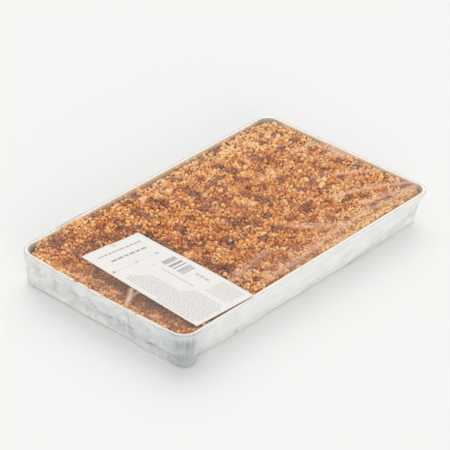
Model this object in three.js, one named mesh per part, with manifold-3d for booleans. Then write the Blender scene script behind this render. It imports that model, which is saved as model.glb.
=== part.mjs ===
// A nut traybake in its foil tray, wrapped in clear film with a paper label on top.
// Millimetres, +Z up. The origin is under the middle of the pack, on the surface it stands on.
// The label's end of the pack is at -X.

import * as THREE from 'three';
import { mergeVertices } from 'three/addons/utils/BufferGeometryUtils.js';
import Module from 'manifold-3d';

const wasm = await Module();
wasm.setup();

// Clearance between pieces that touch, and the film's thickness in this model
const GAP = 0.3;
const FILM = 0.5;

// Foil tray
const RIM_LENGTH = 322;
const RIM_WIDTH = 200;
const RIM_TOP = 33.8;
const CORNER = 13.3;
const FOIL = 0.7;
const TRAY_UNDERSIDE = FILM + GAP;
const TRAY_FLOOR = TRAY_UNDERSIDE + FOIL;
const BASE_INSET = 9; // from the rim's outer edge in to the foot of the wall
const FOOT = 2; // height and run of the rounded foot
const BEAD_WIDTH = 3.9; // rolled edge and the narrow flange it hangs on
const BEAD_HEIGHT = 2.6;
const BEAD_OUTLINE = [[0.8, 2.5], [0, 1.4], [0.5, 0.4], [1.5, 0], [BEAD_WIDTH, 0.8]]; // inset, depth
const LIP_DEPTH = 1.5; // how far the flange's inner edge lies below the bead
const PLEAT = 0.9; // depth of a crimp at the corners
const PANEL_RISE = 0.9; // stiffening step pressed into the base
const PANEL_INSET = 14;

// The end under the label is pushed out at the rim by the packed cake
const END_BULGE = 2.8;
const BULGE_REACH = 110; // how far along the tray the bulge fades out

// Traybake
const CRUST_TOP = 28.4; // mean height of the baked top
const END_RISE = 2.6; // how much higher the top stands at the label's end
const CORE_CORNER = 19; // the cake's own corners are rounder than the tray's
const CORE_CLEAR = 0.7; // the baked cake has drawn back from the foil by this much
const END_RISE_SPAN = [90, 150]; // where it rises, measured from the middle towards the label
const SWELL = 0.8; // slow rise and fall of the top
const SWELL_RUN = 33; // about a sixth of its wavelength
const RIPPLE = 0.5;
const RIPPLE_RUN = 14;
const CRUST_BUMP = 1.4; // half the height of the crust's bumps
const EDGE_BUMP_SHARE = 0.4; // the top's edge against the foil is less bumpy
const EDGE_DROP = 1.1;
const EDGE_DROP_SPAN = [5, 18]; // inset from the rim's outer edge

// The crust is bumps of a chopped nut's size, with the larger nuts as whole lumps on it
const NUT_BLOCK = 3; // one lump in each square of so many bumps
const NUT_HALF_LENGTH = [2.5, 3.9];
const NUT_HALF_WIDTH = [2.0, 2.8];
const NUT_HALF_HEIGHT = [1.7, 2.4];
const NUT_LIFT = 0.4; // height of a lump's centre over the bump it sits on
const FRUIT_EVERY = 13; // one lump in so many is a dried fruit, rounder and larger than a nut
const FRUIT_HALF_SIZE = [3.0, 4.2];
const UNEVEN = 0.22; // how far a lump's corners stray, as a share of its size
const LUMP_TIP = 0.25; // most that a lump is tipped, in radians

// Film
const FILM_CEILING = RIM_TOP + GAP; // underside of the taut film
const HEM_SPREAD = 5.2; // how far the loose hem stands out at the label's end
const HEM_SPAN = [12, 26]; // the hem spreads between these distances from the end
const EAR = 1.4; // further spread of the folded film at the corner nearest the label
const SEAM_LENGTH = 240; // lap seam under the pack, left open as a narrow slit
const SEAM_GAP = 4;
const FOLD_HEIGHT = 0.7; // folds in the taut top
const FOLD_SPAN = [120, 230]; // they fade out between these distances from their corner
const FOLDS_PER_TURN = 9;

// Label
const LABEL_LENGTH = 143;
const LABEL_WIDTH = 65;
const LABEL_THICKNESS = 0.3;
const LABEL_CORNER = 1.5;
const LABEL_MIDDLE = [-105.5, -25.5];
const LABEL_TURN = -3.5; // degrees, seen from above
const LABEL_HEIGHT = FILM_CEILING + FILM + GAP; // its underside

// Repeatable random numbers from 0 to 1
function dice(seed) {
  let state = seed;
  return () => {
    state = (state + 0x6d2b79f5) | 0;
    let mixed = Math.imul(state ^ (state >>> 15), 1 | state);
    mixed = (mixed + Math.imul(mixed ^ (mixed >>> 7), 61 | mixed)) ^ mixed;
    return ((mixed ^ (mixed >>> 14)) >>> 0) / 4294967296;
  };
}

const between = ([low, high], share) => low + (high - low) * share;
const smooth = (value, start, end) => THREE.MathUtils.smoothstep(value, start, end);

// A rounded rectangle is a grid whose corner squares are drawn in to quarter discs.
// The walk lists the grid crossings round its edge, anticlockwise from the -X, -Y corner.
function makePlan(cornerSteps, longSteps, shortSteps) {
  const across = 2 * cornerSteps + longSteps;
  const deep = 2 * cornerSteps + shortSteps;
  const walk = [];
  for (let i = 0; i < across; i++) walk.push([i, 0]);
  for (let j = 0; j < deep; j++) walk.push([across, j]);
  for (let i = across; i > 0; i--) walk.push([i, deep]);
  for (let j = deep; j > 0; j--) walk.push([0, j]);
  return { cornerSteps, longSteps, shortSteps, across, deep, walk };
}

// A grid line's place along a side: even lengths between the corners, even angles round them
function gridLine(step, cornerSteps, sideSteps, half, corner) {
  const straight = half - corner;
  const fromMiddle = step - cornerSteps - sideSteps / 2;
  const past = Math.abs(fromMiddle) - sideSteps / 2;
  if (past <= 0) return (straight * fromMiddle) / (sideSteps / 2);
  const reach = corner * Math.tan(((past / cornerSteps) * Math.PI) / 4);
  return Math.sign(fromMiddle) * (straight + reach);
}

function spot(plan, [i, j], halfX, halfY, corner) {
  const x = gridLine(i, plan.cornerSteps, plan.longSteps, halfX, corner);
  const y = gridLine(j, plan.cornerSteps, plan.shortSteps, halfY, corner);
  const pastX = Math.max(0, Math.abs(x) - halfX + corner);
  const pastY = Math.max(0, Math.abs(y) - halfY + corner);
  if (pastX === 0 || pastY === 0) return [x, y];
  const draw = Math.max(pastX, pastY) / Math.hypot(pastX, pastY);
  return [
    Math.sign(x) * (halfX - corner + pastX * draw),
    Math.sign(y) * (halfY - corner + pastY * draw),
  ];
}

// A grid crossing on the outline that lies `inset` inside the rim's outer edge
function insetSpot(plan, crossing, inset, corner) {
  return spot(plan, crossing, RIM_LENGTH / 2 - inset, RIM_WIDTH / 2 - inset, corner);
}

// Steps from the nearest corner's middle, along the walk
function stepsFromCorner(plan, [i, j]) {
  return Math.min(i, plan.across - i) + Math.min(j, plan.deep - j);
}

// Loose triangles that become one closed solid once their shared points are merged
class Skin {
  constructor() {
    this.points = [];
  }

  face(a, b, c) {
    this.points.push(...a, ...b, ...c);
  }

  // Faces away from the middle when `next` is above `ring`
  band(ring, next) {
    ring.forEach((start, k) => {
      const after = (k + 1) % ring.length;
      this.face(start, ring[after], next[after]);
      this.face(start, next[after], next[k]);
    });
  }

  bands(rings) {
    for (let k = 1; k < rings.length; k++) this.band(rings[k - 1], rings[k]);
  }

  capDown(ring, centre) {
    ring.forEach((start, k) => this.face(centre, ring[(k + 1) % ring.length], start));
  }

  capUp(ring, centre) {
    ring.forEach((start, k) => this.face(centre, start, ring[(k + 1) % ring.length]));
  }

  // A grid facing up, its diagonals turned alternately
  top(plan, at) {
    for (let i = 0; i < plan.across; i++) {
      for (let j = 0; j < plan.deep; j++) {
        const [a, b, c, d] = [at(i, j), at(i + 1, j), at(i + 1, j + 1), at(i, j + 1)];
        const turned = (i + j) % 2 === 0;
        this.face(a, b, turned ? c : d);
        this.face(turned ? a : b, c, d);
      }
    }
  }

  geometry() {
    const loose = new THREE.BufferGeometry();
    loose.setAttribute('position', new THREE.Float32BufferAttribute(this.points, 3));
    return mergeVertices(loose, 1e-3);
  }
}

// The bulge moves every piece alike, so the gaps between them stay
function bulge(geometry) {
  const place = geometry.getAttribute('position');
  for (let k = 0; k < place.count; k++) {
    const x = place.getX(k);
    const nearEnd = smooth(-x, RIM_LENGTH / 2 - BULGE_REACH, RIM_LENGTH / 2);
    const nearMiddle = Math.max(0, 1 - (place.getY(k) / (RIM_WIDTH / 2)) ** 2);
    const nearRim = place.getZ(k) / RIM_TOP;
    const push = END_BULGE * nearEnd * nearMiddle * nearRim;
    place.setX(k, x - push + END_BULGE / 2);
  }
  return geometry;
}

// The foot of the wall is BASE_INSET in, and the wall leans out to the bead
function wallInset(height) {
  const wallFoot = TRAY_UNDERSIDE + FOOT;
  const wallTop = RIM_TOP - BEAD_HEIGHT;
  const share = (height - wallFoot) / (wallTop - wallFoot);
  return BASE_INSET + (BEAD_WIDTH - BASE_INSET) * share;
}

const PACK_PLAN = makePlan(4, 9, 5);
const CRUST_PLAN = makePlan(3, 46, 25);

// One ring of the tray, with the corners crimped alternately in and out
function trayRing(inset, height, crimp = 0) {
  return PACK_PLAN.walk.map((crossing) => {
    const steps = stepsFromCorner(PACK_PLAN, crossing);
    const crimped = steps < PACK_PLAN.cornerSteps ? crimp * PLEAT : 0;
    const fold = (crimped / 2) * (steps % 2 === 0 ? -1 : 1);
    return [...insetSpot(PACK_PLAN, crossing, inset + fold, CORNER), height];
  });
}

function foilTray() {
  const skin = new Skin();
  const wallMiddle = RIM_TOP / 2;
  const beadFoot = RIM_TOP - BEAD_HEIGHT;
  const panelTop = TRAY_UNDERSIDE + PANEL_RISE;
  const outside = [
    trayRing(PANEL_INSET + PANEL_RISE, panelTop),
    trayRing(PANEL_INSET, TRAY_UNDERSIDE),
    trayRing(BASE_INSET + FOOT, TRAY_UNDERSIDE, 0.5),
    trayRing(wallInset(TRAY_UNDERSIDE + FOOT), TRAY_UNDERSIDE + FOOT, 1),
    trayRing(wallInset(wallMiddle), wallMiddle, 1),
    trayRing(BEAD_WIDTH, beadFoot, 0.3),
  ];
  const bead = BEAD_OUTLINE.map(([inset, depth]) => trayRing(inset, RIM_TOP - depth));
  const inside = [
    trayRing(BEAD_WIDTH + FOIL, RIM_TOP - LIP_DEPTH),
    trayRing(wallInset(wallMiddle) + FOIL, wallMiddle, 1),
    trayRing(BASE_INSET + FOIL, TRAY_FLOOR + FOOT, 1),
    trayRing(BASE_INSET + FOOT, TRAY_FLOOR, 0.5),
    trayRing(PANEL_INSET, TRAY_FLOOR),
    trayRing(PANEL_INSET + PANEL_RISE, panelTop + FOIL),
  ];
  skin.capDown(outside[0], [0, 0, panelTop]);
  skin.bands([...outside, ...bead, ...inside]);
  skin.capUp(inside[inside.length - 1], [0, 0, panelTop + FOIL]);
  return bulge(skin.geometry());
}

// Height of the baked top: level on the whole, higher at the label's end, lower at the edges
function crustHeight(x, y) {
  const endRise = END_RISE * smooth(-x, ...END_RISE_SPAN);
  const swell = SWELL * Math.sin(x / SWELL_RUN + 1) * Math.cos(y / SWELL_RUN);
  const ripple = RIPPLE * Math.sin((x - y) / RIPPLE_RUN);
  const toEdge = Math.min(RIM_LENGTH / 2 - Math.abs(x), RIM_WIDTH / 2 - Math.abs(y));
  const edgeDrop = EDGE_DROP * (1 - smooth(toEdge, ...EDGE_DROP_SPAN));
  return CRUST_TOP + endRise + swell + ripple - edgeDrop;
}

// The baked top's grid of points, each a bump up or down, with its edge just clear of the foil
function crustGrid() {
  const roll = dice(11);
  const grid = [];
  for (let i = 0; i <= CRUST_PLAN.across; i++) {
    grid.push([]);
    for (let j = 0; j <= CRUST_PLAN.deep; j++) {
      const onEdge = i === 0 || j === 0 || i === CRUST_PLAN.across || j === CRUST_PLAN.deep;
      const bump = CRUST_BUMP * (2 * roll() - 1);
      const [x, y] = insetSpot(CRUST_PLAN, [i, j], coreInset(CRUST_TOP), CORE_CORNER);
      const height = crustHeight(x, y) + bump * (onEdge ? EDGE_BUMP_SHARE : 1);
      const edge = insetSpot(CRUST_PLAN, [i, j], coreInset(height), CORE_CORNER);
      grid[i].push([...(onEdge ? edge : [x, y]), height]);
    }
  }
  return grid;
}

function coreInset(height) {
  return wallInset(height) + FOIL + CORE_CLEAR;
}

function traybakeCore(grid) {
  const skin = new Skin();
  const floor = TRAY_FLOOR + PANEL_RISE + GAP;
  const footTop = floor + FOOT;
  const ringAt = (inset, height) =>
    CRUST_PLAN.walk.map((crossing) => [...insetSpot(CRUST_PLAN, crossing, inset, CORE_CORNER), height]);
  const footRing = ringAt(coreInset(footTop) + FOOT, floor);
  const topEdge = CRUST_PLAN.walk.map(([i, j]) => grid[i][j]);
  skin.capDown(footRing, [0, 0, floor]);
  skin.bands([footRing, ringAt(coreInset(footTop), footTop), topEdge]);
  skin.top(CRUST_PLAN, (i, j) => grid[i][j]);
  return skin.geometry();
}

// A lump with uneven corners, turned at random and tipped a little
function lump(roll, shape, sizes) {
  const solid = shape.clone();
  const place = solid.getAttribute('position');
  for (let k = 0; k < place.count; k++) {
    const uneven = 1 + UNEVEN * (2 * roll() - 1);
    place.setXYZ(k, place.getX(k) * uneven, place.getY(k) * uneven, place.getZ(k) * uneven);
  }
  solid.scale(...sizes.map((range) => between(range, roll())));
  solid.rotateX(LUMP_TIP * (2 * roll() - 1));
  solid.rotateY(LUMP_TIP * (2 * roll() - 1));
  solid.rotateZ(2 * Math.PI * roll());
  return solid;
}

// Nuts and the odd dried fruit, one on a bump drawn at random from each block of bumps
function toppings(grid) {
  const roll = dice(29);
  const nutShape = bare(new THREE.OctahedronGeometry(1, 0));
  const nutSizes = [NUT_HALF_LENGTH, NUT_HALF_WIDTH, NUT_HALF_HEIGHT];
  const fruitShape = bare(new THREE.IcosahedronGeometry(1, 0));
  const fruitSizes = [FRUIT_HALF_SIZE, FRUIT_HALF_SIZE, NUT_HALF_HEIGHT];
  const lying = [];
  for (let i = 1; i + NUT_BLOCK <= CRUST_PLAN.across; i += NUT_BLOCK) {
    for (let j = 1; j + NUT_BLOCK <= CRUST_PLAN.deep; j += NUT_BLOCK) {
      const across = i + Math.floor(NUT_BLOCK * roll());
      const deep = j + Math.floor(NUT_BLOCK * roll());
      const [x, y, height] = grid[across][deep];
      const isFruit = lying.length % FRUIT_EVERY === 0;
      const solid = lump(roll, isFruit ? fruitShape : nutShape, isFruit ? fruitSizes : nutSizes);
      solid.computeBoundingBox();
      const ceiling = FILM_CEILING - GAP - solid.boundingBox.max.z;
      solid.translate(x, y, Math.min(height + NUT_LIFT, ceiling));
      lying.push(solid);
    }
  }
  return lying;
}

// Only the positions, with shared points merged, as a boolean needs
function bare(geometry) {
  const kept = geometry.clone();
  kept.deleteAttribute('normal');
  kept.deleteAttribute('uv');
  return mergeVertices(kept, 1e-4);
}

function toManifold(geometry) {
  const vertProperties = new Float32Array(geometry.getAttribute('position').array);
  const triVerts = new Uint32Array(geometry.index.array);
  return new wasm.Manifold(new wasm.Mesh({ numProp: 3, vertProperties, triVerts }));
}

function toGeometry(solid) {
  const mesh = solid.getMesh();
  const geometry = new THREE.BufferGeometry();
  geometry.setAttribute('position', new THREE.BufferAttribute(mesh.vertProperties, 3));
  geometry.setIndex(new THREE.BufferAttribute(mesh.triVerts, 1));
  return geometry;
}

function traybake() {
  const grid = crustGrid();
  const pieces = [traybakeCore(grid), ...toppings(grid)].map(toManifold);
  const joined = pieces.reduce((whole, piece) => whole.add(piece));
  return bulge(toGeometry(joined));
}

// The film's inner side, from the taut top down over the rim and under the base.
// Each step has its inset, height, the way it faces in degrees above level, how much slack
// lets it wander outwards, and its share of the hem's spread at the label's end.
const FILM_STEPS = [
  { inset: 0.6, height: FILM_CEILING, faces: 90, slack: 0, spread: 0 },
  { inset: -0.4, height: RIM_TOP - 0.6, faces: 20, slack: 0, spread: 0 },
  { inset: -0.3, height: RIM_TOP - 3.4, faces: -6, slack: 0.2, spread: 0.05 },
  { inset: 3, height: RIM_TOP / 2, faces: -14, slack: 1.1, spread: 0.3 },
  { inset: 5.8, height: 6.5, faces: -14, slack: 1.2, spread: 0.7 },
  { inset: 7.3, height: 1.3, faces: -40, slack: 0.8, spread: 1 },
  { inset: 9.6, height: FILM, faces: -90, slack: 0, spread: 0.9 },
];

function filmWrap() {
  const skin = new Skin();
  const roll = dice(5);
  const inside = [];
  const outside = [];
  for (const step of FILM_STEPS) {
    const facing = THREE.MathUtils.degToRad(step.faces);
    const inner = [];
    const outer = [];
    for (const crossing of PACK_PLAN.walk) {
      const [x, y] = insetSpot(PACK_PLAN, crossing, BASE_INSET, CORNER);
      const atEnd = 1 - smooth(x + RIM_LENGTH / 2, ...HEM_SPAN);
      const atEar = atEnd * (1 - smooth(y + RIM_WIDTH / 2, ...HEM_SPAN));
      const spread = step.spread * (HEM_SPREAD * atEnd + EAR * atEar);
      const inset = step.inset - step.slack * roll() - spread;
      const thicker = FILM * Math.cos(facing);
      inner.push([...insetSpot(PACK_PLAN, crossing, inset, CORNER), step.height]);
      const outerHeight = step.height + FILM * Math.sin(facing);
      outer.push([...insetSpot(PACK_PLAN, crossing, inset - thicker, CORNER), outerHeight]);
    }
    inside.push(inner);
    outside.push(outer);
  }
  const slit = (height) =>
    PACK_PLAN.walk.map((crossing) => [
      ...spot(PACK_PLAN, crossing, SEAM_LENGTH / 2, SEAM_GAP / 2, SEAM_GAP / 2 - 0.1),
      height,
    ]);
  skin.capDown(inside[0], [0, 0, FILM_CEILING]);
  skin.bands([...inside, slit(FILM), slit(0), ...outside.reverse()]);
  skin.top(PACK_PLAN, filmTop);
  return bulge(skin.geometry());
}

// The taut top, with low folds that fan out from the corner at +X, -Y and leave the label flat
function filmTop(i, j) {
  const crossing = [i, j];
  const [x, y] = insetSpot(PACK_PLAN, crossing, FILM_STEPS[0].inset, CORNER);
  const flat = FILM_CEILING + FILM;
  const onEdge = i === 0 || j === 0 || i === PACK_PLAN.across || j === PACK_PLAN.deep;
  if (onEdge) return [x, y, flat];
  const fromCorner = Math.hypot(RIM_LENGTH / 2 - x, RIM_WIDTH / 2 + y);
  const bearing = Math.atan2(RIM_WIDTH / 2 + y, RIM_LENGTH / 2 - x);
  const fan = Math.max(0, Math.sin(FOLDS_PER_TURN * bearing)) * (1 - smooth(fromCorner, ...FOLD_SPAN));
  return [x, y, flat + FOLD_HEIGHT * fan];
}

function label() {
  const halfX = LABEL_WIDTH / 2 - LABEL_CORNER;
  const halfY = LABEL_LENGTH / 2 - LABEL_CORNER;
  const outline = new THREE.Shape();
  outline.absarc(halfX, halfY, LABEL_CORNER, 0, Math.PI / 2);
  outline.absarc(-halfX, halfY, LABEL_CORNER, Math.PI / 2, Math.PI);
  outline.absarc(-halfX, -halfY, LABEL_CORNER, Math.PI, 1.5 * Math.PI);
  outline.absarc(halfX, -halfY, LABEL_CORNER, 1.5 * Math.PI, 2 * Math.PI);
  const plate = new THREE.ExtrudeGeometry(outline, {
    depth: LABEL_THICKNESS,
    bevelEnabled: false,
    curveSegments: 3,
  });
  return bare(plate);
}

function finish(colour, roughness, metalness, opacity = 1) {
  return new THREE.MeshStandardMaterial({
    color: colour,
    roughness,
    metalness,
    transparent: opacity < 1,
    opacity,
  });
}

function piece(name, geometry, material) {
  const mesh = new THREE.Mesh(geometry, material);
  mesh.name = name;
  return mesh;
}

const pack = new THREE.Group();
pack.add(piece('foil_tray', foilTray(), finish(0xc9cac8, 0.34, 1)));
pack.add(piece('traybake', traybake(), finish(0xb5804d, 0.7, 0)));
pack.add(piece('film_wrap', filmWrap(), finish(0xf4f2ee, 0.12, 0, 0.25)));

const paper = piece('label', label(), finish(0xf1eeea, 0.8, 0));
paper.position.set(LABEL_MIDDLE[0] + END_BULGE / 2, LABEL_MIDDLE[1], LABEL_HEIGHT);
paper.rotation.z = THREE.MathUtils.degToRad(LABEL_TURN);
pack.add(paper);

export default pack;
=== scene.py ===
"""A honey nut traybake in its foil tray, wrapped in clear film, with a paper label on top.

Shapes are worked out in millimetres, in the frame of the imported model, and become metres where
a mesh is made. The label's end of the pack is at -X.
"""

import math

import bpy
import numpy as np
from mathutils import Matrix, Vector


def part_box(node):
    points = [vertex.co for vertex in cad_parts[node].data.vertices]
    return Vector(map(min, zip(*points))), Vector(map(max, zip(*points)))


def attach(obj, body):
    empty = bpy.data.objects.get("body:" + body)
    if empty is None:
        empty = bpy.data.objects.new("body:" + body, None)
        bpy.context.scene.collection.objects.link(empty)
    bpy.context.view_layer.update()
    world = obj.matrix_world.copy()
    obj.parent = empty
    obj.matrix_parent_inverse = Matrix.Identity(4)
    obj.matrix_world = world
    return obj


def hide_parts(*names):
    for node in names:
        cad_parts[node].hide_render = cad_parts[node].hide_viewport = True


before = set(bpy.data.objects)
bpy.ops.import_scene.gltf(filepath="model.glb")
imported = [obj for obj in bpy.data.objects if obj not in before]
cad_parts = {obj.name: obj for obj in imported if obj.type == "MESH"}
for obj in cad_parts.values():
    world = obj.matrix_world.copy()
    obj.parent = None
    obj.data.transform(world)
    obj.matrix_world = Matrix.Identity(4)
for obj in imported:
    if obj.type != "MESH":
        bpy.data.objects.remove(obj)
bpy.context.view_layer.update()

MM = 0.001

# Foil tray, measured from the rim's outer edge
RIM_LENGTH = 322.0
RIM_WIDTH = 200.0
HALF_LENGTH = RIM_LENGTH / 2
HALF_WIDTH = RIM_WIDTH / 2
RIM_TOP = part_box("foil_tray")[1].z / MM
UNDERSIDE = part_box("foil_tray")[0].z / MM
CORNER = 13.3
FOIL = 0.35
BASE_INSET = 9.0
FOOT = 2.0
BEAD = 1.35
LIP_INSET = 5.2
LIP_SLOPE = 0.42
WALL_TOP_INSET = 3.9
WALL_TOP = RIM_TOP - 2.6
PANEL_RISE = 0.9
PANEL_INSET = 14.0

# Pleats of the gathered corners: their depth, how far they reach from a corner, and the waves that
# add up to them, as turn from column to column, start and size
PLEAT = 0.6
PLEAT_REACH = 17.0
PLEAT_WAVES = [(1.25, 0, 0.6), (1.83, 1, 0.35), (0.41, 2, 0.3)]

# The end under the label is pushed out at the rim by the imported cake
END_BULGE = 2.8
BULGE_REACH = 110.0

# Traybake: its top and corners, its gap to the foil, the spacing of its nuts, and the spacing and
# the seed of the nubs of its crust
CRUST_TOP = 28.6
CAKE_CORNER = 17.0
CAKE_CLEAR = 0.5
SUNK_SPACING = 2.65
TOP_SPACING = 2.55
SMALL_NUBS = (3.1, 21)
LARGE_NUBS = (6.0, 22)

# Film: its thickness, its height on the rim and between the rims, its sag under the label's far
# corner, its lift where nuts lie on the rim, the height of a fold, and how far nuts stay under it
FILM_THICK = 0.1
FILM_ON_RIM = RIM_TOP + 0.3
FILM_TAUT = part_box("label")[0].z / MM - 0.3
FILM_SAG = 4.2
SPILL_LIFT = 1.2
FOLD_HEIGHT = 0.35
FILM_CLEAR = 0.15

# The film's lap seam under the pack, open as a slit: its box, what rounds that off, and its height
SEAM_BOX = np.array([118.0, 0.1])
SEAM_ROUNDING = np.array([2.0, 1.6])
SEAM_HEIGHT = 0.35

# Seeds of the two sets of lines that crumple the film; the grey set also carries painted shade
WHITE_LINES = 81
GREY_SHADE_LINES = 82

# Label: its size, place and turn, how it lies on the film, how many points it has across and along,
# the ink's thickness, the longest stretch of ink that bends as one, and a hair's gap between two
LABEL_LENGTH = 145.3
LABEL_WIDTH = 66.1
LABEL_MIDDLE = (-103.7, -24.7)
LABEL_TURN = -3.2
LABEL_CLEAR = 0.1
LABEL_THICK = 0.3
LABEL_GRID = (40, 88)
INK_THICK = 0.06
INK_STRETCH = 3.0
HAIR = 0.01

# Camera: how far round from -Y it stands and how high, in degrees, its lens, what it looks at, and
# how far away
CAMERA_AZIMUTH = -47.0974
CAMERA_ELEVATION = 32.4968
CAMERA_LENS = 192.0
CAMERA_TARGET = (-3.0, 0.8, 28.2)
CAMERA_DISTANCE = 2125.7


def smooth(value, low, high):
    """0 below `low`, 1 above `high`, and an S-shaped cubic between."""
    share = np.clip((value - low) / (high - low), 0, 1)
    return share * share * (3 - 2 * share)


def bell(away, half_width):
    """1 in the middle, falling off to both sides as a bell curve."""
    return np.exp(-((away / half_width) ** 2))


def beside(*parts):
    """Numbers and arrays side by side, as the last axis of one array."""
    return np.stack(np.broadcast_arrays(*parts), axis=-1)


def waves(x, y, length, seed, count=16):
    """The sum of plane waves about `length` long, in random directions, scaled to a spread of 1."""
    dice = np.random.default_rng(seed)
    total = 0
    for bearing, stretch, phase in zip(*dice.uniform(0, 1, (3, count))):
        number = 2 * np.pi / (length * (0.7 + 0.7 * stretch))
        along = x * math.cos(2 * np.pi * bearing) + y * math.sin(2 * np.pi * bearing)
        total = total + np.sin(number * along + 2 * np.pi * phase)
    return total / math.sqrt(count / 2)


def placed(points):
    """Pushes out the label's end: most at the rim and in the middle of that end, then centres it."""
    x, y, z = np.moveaxis(points, -1, 0)
    near_end = smooth(-x, HALF_LENGTH - BULGE_REACH, HALF_LENGTH)
    near_middle = np.clip(1 - (y / HALF_WIDTH) ** 2, 0, 1)
    push = END_BULGE * near_end * near_middle * z / RIM_TOP
    return beside(x - push + END_BULGE / 2, y, z)


def inset_at(x, y, corner=CORNER):
    """How far a point lies inside the rim's outer edge: the distance to a rounded rectangle."""
    past_x = np.abs(x) - HALF_LENGTH + corner
    past_y = np.abs(y) - HALF_WIDTH + corner
    outside = np.hypot(np.maximum(past_x, 0), np.maximum(past_y, 0))
    return corner - outside - np.minimum(np.maximum(past_x, past_y), 0)


def wall_inset(height):
    """Inset of the tray's outer wall, which leans out evenly from its foot to the bead."""
    foot = UNDERSIDE + FOOT
    share = (height - foot) / (WALL_TOP - foot)
    return BASE_INSET + (WALL_TOP_INSET - BASE_INSET) * share


class Outline:
    """Columns round a rounded rectangle, anticlockwise from the middle of the -X, -Y corner.

    A column has a direction out of the outline, and a place on the box that joins the corner
    arcs' centres, so it keeps its direction at every inset. `from_corner` is a way along the edge
    in millimetres: on a straight side from the middle of the nearer corner's arc, and on an arc
    from its nearer end.
    """

    def __init__(self, spacing, corner_steps, corner=CORNER):
        self.corner = corner
        lengths = [RIM_LENGTH - 2 * corner, RIM_WIDTH - 2 * corner]
        counts = [round(length / spacing) for length in lengths]
        self.across, self.deep = counts[0] + corner_steps, counts[1] + corner_steps
        self.columns = 2 * (self.across + self.deep)
        arc_length = corner * np.pi / 2
        turns, boxes, ways = [], [], []
        for side in range(4):
            length, steps = lengths[side % 2], counts[side % 2]
            step = np.arange(steps + corner_steps) - corner_steps / 2
            past = np.minimum(step, 0) + np.maximum(step - steps, 0)
            quarter = side * np.pi / 2
            turns.append(quarter - np.pi / 2 + past / corner_steps * np.pi / 2)
            place = beside(np.clip(2 * step / steps - 1, -1, 1), -1.0)
            cos, sin = math.cos(quarter), math.sin(quarter)
            boxes.append(np.round(place @ np.array([[cos, sin], [-sin, cos]]), 9))
            on_arc = arc_length * np.abs(past) / corner_steps
            on_side = arc_length / 2 + np.minimum(step, steps - step) * length / steps
            ways.append(np.where(past != 0, on_arc, on_side))
        turn = np.concatenate(turns)
        self.out = beside(np.cos(turn), np.sin(turn))
        self.box = np.concatenate(boxes)
        self.from_corner = np.concatenate(ways)

    def ring(self, inset, height, corner=None):
        """Points `inset` inside the rim's edge: the arc centres' box, plus the radius outwards."""
        radius = np.maximum(self.corner - 0.6 * inset, 2.0) if corner is None else corner
        x = self.box[:, 0] * (HALF_LENGTH - inset - radius) + self.out[:, 0] * radius
        y = self.box[:, 1] * (HALF_WIDTH - inset - radius) + self.out[:, 1] * radius
        return beside(x, y, height)

    def patch(self, rim):
        """A grid inside a ring: the blends between its opposite sides, less that of its corners."""
        n, m = self.across, self.deep
        whole = np.concatenate([rim, rim[:1]])
        south, east = whole[: n + 1], whole[n : n + m + 1]
        north, west = whole[n + m : 2 * n + m + 1][::-1], whole[2 * n + m :][::-1]
        u = np.linspace(0, 1, n + 1)[None, :, None]
        v = np.linspace(0, 1, m + 1)[:, None, None]
        sides = (1 - v) * south + v * north + (1 - u) * west[:, None] + u * east[:, None]
        low = (1 - u) * south[0] + u * south[-1]
        high = (1 - u) * north[0] + u * north[-1]
        return sides - (1 - v) * low - v * high

    def patch_ids(self, ring_start, inner_start):
        """Point numbers of that grid, whose border is the ring."""
        n, m = self.across, self.deep
        border = ring_start + np.arange(self.columns + 1)
        border[-1] = ring_start
        ids = np.empty((m + 1, n + 1), int)
        ids[1:-1, 1:-1] = inner_start + np.arange((m - 1) * (n - 1)).reshape(m - 1, n - 1)
        ids[0] = border[: n + 1]
        ids[:, -1] = border[n : n + m + 1]
        ids[-1, ::-1] = border[n + m : 2 * n + m + 1]
        ids[::-1, 0] = border[2 * n + m :]
        return ids


def quads(ids):
    """Faces between neighbouring rows and columns of a grid of point numbers."""
    return np.stack([ids[:-1, :-1], ids[:-1, 1:], ids[1:, 1:], ids[1:, :-1]], axis=-1).reshape(-1, 4)


def bands(rows, columns):
    """Faces between rings, each ring closed on itself, facing out where the rings climb."""
    ids = np.arange(rows * columns).reshape(rows, columns)
    return quads(np.concatenate([ids, ids[:, :1]], axis=1))


def fan(middle, ring):
    """Triangles from one point to each stretch of a closed ring, by their numbers."""
    return beside(middle, ring, np.roll(ring, -1))


def arc(middle, radius, start, end, steps):
    """Points (outwards, height) along an arc in the wall's section, angles in degrees."""
    angle = np.radians(np.linspace(start, end, steps))
    return beside(middle[0] + radius * np.cos(angle), middle[1] + radius * np.sin(angle))


def through(points, steps):
    """A smooth curve through rows of numbers: a Catmull-Rom spline, `steps` to each stretch."""
    rows = np.array(points, float)
    rows = np.concatenate([[2 * rows[0] - rows[1]], rows, [2 * rows[-1] - rows[-2]]])
    share = np.linspace(0, 1, steps, endpoint=False)[:, None]
    found = []
    for a, b, c, d in zip(rows[:-3], rows[1:-2], rows[2:-1], rows[3:]):
        bend = (2 * a - 5 * b + 4 * c - d) * share**2 + (3 * b - a - 3 * c + d) * share**3
        found.append(b + 0.5 * ((c - a) * share + bend))
    return np.concatenate([*found, rows[-2:-1]])


def distance_to(places, x, y):
    """Distance to the nearest of some places."""
    x, y = np.broadcast_arrays(x, y)
    gaps = np.hypot(np.ravel(x)[:, None] - places[:, 0], np.ravel(y)[:, None] - places[:, 1])
    return gaps.min(axis=1).reshape(x.shape)


def ridges_along(lines, x, y):
    """Ridges along smooth curves: the sum of each one's height times a bell of the distance to it."""
    return sum(height * bell(distance_to(through(route, 24), x, y), width) for route, width, height in lines)


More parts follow.
